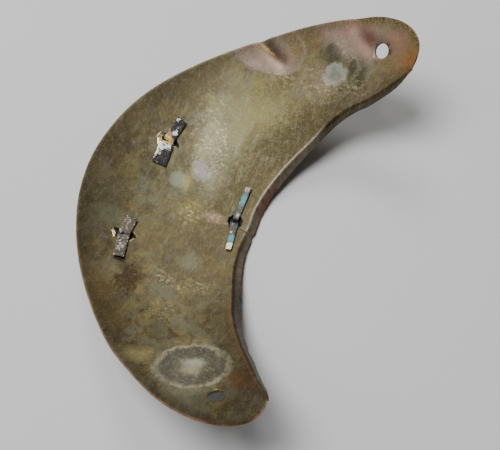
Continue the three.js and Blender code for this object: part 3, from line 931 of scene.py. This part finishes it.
# painted highlight along the rounded bend, broken by the mottling, on the left and in the middle
bend_highlight_band = across_at.above(0.99, 1.03) * across_at.below(1.08, 1.16)
painted_bend_highlight = bend_highlight_band * mottle.ramp(0.35, 0.55, 0.5, 1.0) * turn_at.above(-0.74, -0.66)
ground = patina.mix(painted_bend_highlight * turn_at.below(-0.05, 0.25, 0.75), ground, rgb(182, 174, 154))
dark_bend = across_at.above(1.0, 1.03, 0.85) * turn_at.above(0.35, 0.55)
ground = patina.mix(dark_bend, ground, rgb(66, 50, 36))
# an orange line along the start of the bend on the right horn
orange_bend_line = across_at.above(0.96, 0.99) * across_at.below(1.0, 1.04) * turn_at.above(0.56, 0.72)
ground = patina.mix(orange_bend_line * 0.6, ground, rgb(144, 94, 60))

# %% Mottling, streaks and grain over all of it
DEEPER = 0.3  # the light is set for bright metal, so the tarnish is taken down this far
ground = patina.mix(mottle.above(0.48, 0.7, 0.28), ground, rgb(164, 155, 118))
ground = patina.mix(mottle.below(0.3, 0.5, 0.32), ground, rgb(72, 62, 43))
ground = patina.mix(streaks.above(0.5, 0.7, 0.2), ground, rgb(168, 164, 146))
ground = patina.mix(grain.above(0.52, 0.72, 0.4), ground, rgb(172, 160, 124))
ground = patina.mix(grain.below(0.3, 0.47, 0.4), ground, rgb(66, 54, 38))

# %% Gloss and relief
matt_stains = patina.spot(0.6, -56.1, -16.4, 3.5, 0.3, 0.3, 1.15, 90)
matt_stains = matt_stains + patina.spot(0.5, 58.4, -17.2, 10.8, 0.2, 0.1)
relief = grain * 0.35 + mottle * 0.65 + grey_cloud * 0.8
patina.feed(
    Base_Color=patina.mix(DEEPER, ground, rgb(0, 0, 0)),
    Metallic=0.8 - matt_stains - on_flange * 0.55,
    Roughness=0.34 + 0.14 * grey_cloud + 0.16 * mottle + 0.2 * matt_stains + 0.15 * on_flange,
    Normal=patina.bump(relief, 0.25, 0.0004),
)
print("patina of", len(patina.tree.nodes), "nodes")

# %% [markdown]
# ## Front face and cut edge
# The front, that lies on the ground, keeps only the plain tarnish. The cut edge of the sheet
# is rubbed to copper brown. Solidify gave the front and the edge a material slot of their own.

# %% Plain tarnish and rubbed edge
front = Patina("tarnished_front", 0.85, 0.4)
front_drift = front.noise(0.05, 2, 5, 0.6, 0.4)
front_mottle = front.noise(0.3, 6, 5, 0.7, 0.5)
front_tone = front.mix(front_drift.above(0.38, 0.62), rgb(126, 104, 62), rgb(158, 136, 88))
front_tone = front.mix(front_mottle.above(0.5, 0.7, 0.5), front_tone, rgb(178, 156, 104))
front_tone = front.mix(front_mottle.below(0.3, 0.45, 0.5), front_tone, rgb(92, 72, 44))
front.feed(
    Base_Color=front_tone, Roughness=0.3 + 0.25 * front_mottle,
    Normal=front.bump(front_mottle, 0.2, 0.0003),
)
edge = Patina("rubbed_edge", 0.85, 0.4)
edge_tone = edge.noise(0.25, 3, 5, 0.7)
edge.feed(Base_Color=edge.mix(edge_tone.above(0.3, 0.7), rgb(104, 76, 52), rgb(172, 132, 96)))
sheet.data.materials[BACK] = patina.material
sheet.data.materials[FRONT] = front.material
sheet.data.materials[EDGE] = edge.material

# %% [markdown]
# ## Torn brass, prongs and badge
# The lips are rubbed brass. The prongs are dark metal with silver left in ragged patches, a
# brassy fold at the left hole, and blue-green salts and one cream tip at the neck. The badge's
# back, seen through the holes, is painted near black as shade over dark tarnish, and its blank
# face plain grey.

# %% Lips
torn = Patina("torn_brass", 0.45, 0.3)
torn_tone = torn.noise(0.9, 3, 4, 0.6)
torn_colour = torn.mix(torn_tone.above(0.34, 0.56), rgb(150, 100, 62), rgb(250, 228, 168))
torn.feed(Base_Color=torn_colour)
torn_lips.data.materials.append(torn.material)


# %% The finish of a prong
# It takes dark and pale metal, patches to a millimetre, the level over which they are bare,
# then spots that add pale metal and spots of colour.
def prong_finish(name, dark, pale, scale, bare, worn_spots, tints):
    finish = Patina(name, 0.75, 0.4)
    patch = finish.noise(scale, 3, 6, 0.75, 0.8)
    for oval in worn_spots:
        patch = patch + finish.spot(*oval)
    worn = patch.above(bare, bare + 0.03)
    speck = finish.noise(1.8, 4, 5, 0.75)
    colour = finish.mix(speck.above(0.5, 0.66, 0.55), dark, rgb(138, 134, 126))
    colour = finish.mix(speck.below(0.36, 0.46, 0.6), colour, rgb(24, 24, 26))
    colour = finish.mix(worn, colour, pale)
    for shade, *oval in tints:
        tint = finish.spot(*oval) * speck.ramp(0.4, 0.52, 0.2, 1.0)
        colour = finish.mix(tint, colour, rgb(*shade))
    finish.feed(
        Base_Color=colour, Metallic=0.6 - 0.5 * worn, Roughness=0.5 - 0.2 * worn,
        Normal=finish.bump(patch * 0.6 + speck * 0.5, 0.5, 0.0002),
    )
    return finish.material


PRONG_LOOKS = {
    "left": (
        rgb(44, 43, 46), rgb(255, 252, 240), 0.8, 0.62,
        [
            (0.2, -15.0, -65.0, 1.3, 0.8, 0.5, 1.5, 90),
            (0.16, -13.0, -66.2, 1.0, 0.8, 0.6, 2.2, 20),
            (0.2, -10.2, -67.0, 0.7, 0.8, 0.6, 1.8, 0),
            (0.18, -21.6, -66.2, 0.6, 0.8, 0.5, 2.8, 0),
            (0.18, -20.9, -63.4, 0.8, 0.8, 0.6, 1.8, 20),
            (0.14, -25.4, -64, 0.8, 0.8, 0.6),
        ],
        [
            ((250, 226, 160), 1.0, -17.4, -65.4, 1.3, 0.3, 0.4, 2.2, 90),
            ((204, 146, 96), 0.8, -19.6, -65.2, 0.9, 0.6, 0.4),
        ],
    ),
    "right": (
        rgb(84, 81, 74), rgb(200, 190, 164), 1.1, 0.555,
        [(0.06, 26.5, -61.5, 1.6, 0.8, 0.6), (0.04, 17, -63.5, 1.2, 0.8, 0.6)],
        [((150, 120, 92), 0.4, 18.5, -62.5, 1.6, 0.8, 0.5)],
    ),
    "neck": (
        rgb(60, 62, 62), rgb(176, 178, 168), 0.9, 0.63,
        [
            (0.12, -1.8, -30.0, 1.0, 0.7, 0.6), (0.1, -10.6, -31.3, 0.5, 0.8, 0.4, 4.0, 0),
            (0.5, 11.4, -27.5, 2.1, 0.12, 0.06, 1.0, 0),
        ],
        [
            ((74, 128, 136), 0.85, -7.3, -30.5, 1.9, 0.5, 0.5, 1.1, 0),
            ((190, 186, 168), 0.35, -12.4, -30.6, 0.9, 0.6, 0.5, 1.6, 0),
            ((226, 198, 96), 0.9, 5.3, -29.6, 0.45, 0.5, 0.2),
            ((96, 152, 158), 0.95, 7.8, -28.4, 1.6, 0.3, 0.3, 1.1, 0),
            ((255, 246, 206), 1.0, 11.4, -27.5, 2.1, 0.12, 0.06, 1.0, 0),
        ],
    ),
}
for name, piece in prong_pieces.items():
    piece.data.materials.append(prong_finish("prong_" + name, *PRONG_LOOKS[name]))

# %% Badge
FACES_UP = 0.2  # how far up a normal points on the back of the badge
# painted shade: the badge's back, seen through the holes under the sheet, is near black
painted_shade_black = Finish("badge_back_painted_shade", 0.0, 0.8)
painted_shade_black.shader.inputs["Base Color"].default_value = (0.008, 0.008, 0.009, 1)
blank = Patina("badge_metal", 0.85, 0.38)
tone = blank.noise(0.12, 3, 6, 0.65, 0.3)
brushed = blank.noise(0.8, 4, 4, 0.6, 0.0, (0.2, 2, 1))
blank_tone = blank.mix(tone.above(0.35, 0.65), rgb(96, 94, 88), rgb(158, 156, 150))
blank_tone = blank.mix(brushed.above(0.5, 0.7, 0.3), blank_tone, rgb(190, 188, 180))
blank.feed(
    Base_Color=blank_tone, Roughness=0.3 + 0.25 * tone,
    Normal=blank.bump(tone + 0.3 * brushed, 0.15, 0.0003),
)
badge.data.materials.append(blank.material)
badge.data.materials.append(painted_shade_black.material)
for polygon in badge.data.polygons:
    polygon.material_index = int(polygon.normal.z > FACES_UP)

# %% [markdown]
# ## Floor, light and camera
# A plain pale floor, one large soft light nearly overhead, a smaller one from beyond the left
# horn, a weak fill and a pale sky. The camera looks down steeply from the right side of the
# belly, 24 degrees off the vertical, as in the photograph.

# %% Floor
FLOOR_HALF = 3
floor_mesh = bmesh.new()
bmesh.ops.create_grid(floor_mesh, x_segments=1, y_segments=1, size=FLOOR_HALF)
floor_data = bpy.data.meshes.new("floor")
floor_mesh.to_mesh(floor_data)
floor_mesh.free()
floor = bpy.data.objects.new("floor", floor_data)
bpy.context.scene.collection.objects.link(floor)
floor_finish = Finish("floor_paper", 0.0, 0.8)
floor_finish.shader.inputs["Base Color"].default_value = (0.62, 0.63, 0.65, 1)
floor.data.materials.append(floor_finish.material)

# %% Camera
SLANT = math.radians(24)
HEADING = math.radians(-151.42)
ROLL = math.radians(5)
DISTANCE = 300.4
AIM = Vector((-0.41, -25.0, 0))
PICTURE_WIDTH = 500
FOCAL_PIXELS = 856.2
SENSOR = 36

look = Vector((
    math.sin(SLANT) * math.cos(HEADING), math.sin(SLANT) * math.sin(HEADING), -math.cos(SLANT),
))
camera_data = bpy.data.cameras.new("camera")
camera_data.sensor_width = SENSOR
camera_data.lens = SENSOR * FOCAL_PIXELS / PICTURE_WIDTH
camera_data.clip_start = 0.01
camera = bpy.data.objects.new("camera", camera_data)
bpy.context.scene.collection.objects.link(camera)
right = look.cross(Vector((0, 0, 1))).normalized()
up = right.cross(look)
rolled_right = right * math.cos(ROLL) - up * math.sin(ROLL)
rolled_up = rolled_right.cross(look)
turned = Matrix((rolled_right, rolled_up, -look)).transposed().to_4x4()
camera.matrix_world = Matrix.Translation(placed(AIM - look * DISTANCE)) @ turned
bpy.context.scene.camera = camera
print("lens", round(camera_data.lens, 1), "mm")


# %% Lights
def soft_light(name, direction, distance, size, power, colour=(1, 1, 1)):
    data = bpy.data.lights.new(name, "AREA")
    data.shape = "DISK"
    data.size = size
    data.energy = power
    data.color = colour
    lamp = bpy.data.objects.new(name, data)
    bpy.context.scene.collection.objects.link(lamp)
    toward = Vector(direction).normalized()
    lamp.matrix_world = (
        Matrix.Translation(toward * distance) @ toward.to_track_quat("Z", "Y").to_matrix().to_4x4()
    )


soft_light("key", (0.03, -0.25, 0.93), 1.0, 0.5, 10.3, (1, 0.98, 0.95))
soft_light("side", (-0.6, -0.33, 0.7), 1.0, 0.3, 3.6, (1, 0.98, 0.95))
soft_light("fill", (0.3, -0.6, 0.75), 1.1, 0.8, 2.2, (0.95, 0.97, 1))
world = bpy.data.worlds.new("studio")
world.use_nodes = True
world.node_tree.nodes["Background"].inputs["Color"].default_value = (0.8, 0.85, 0.9, 1)
world.node_tree.nodes["Background"].inputs["Strength"].default_value = 0.08
bpy.context.scene.world = world
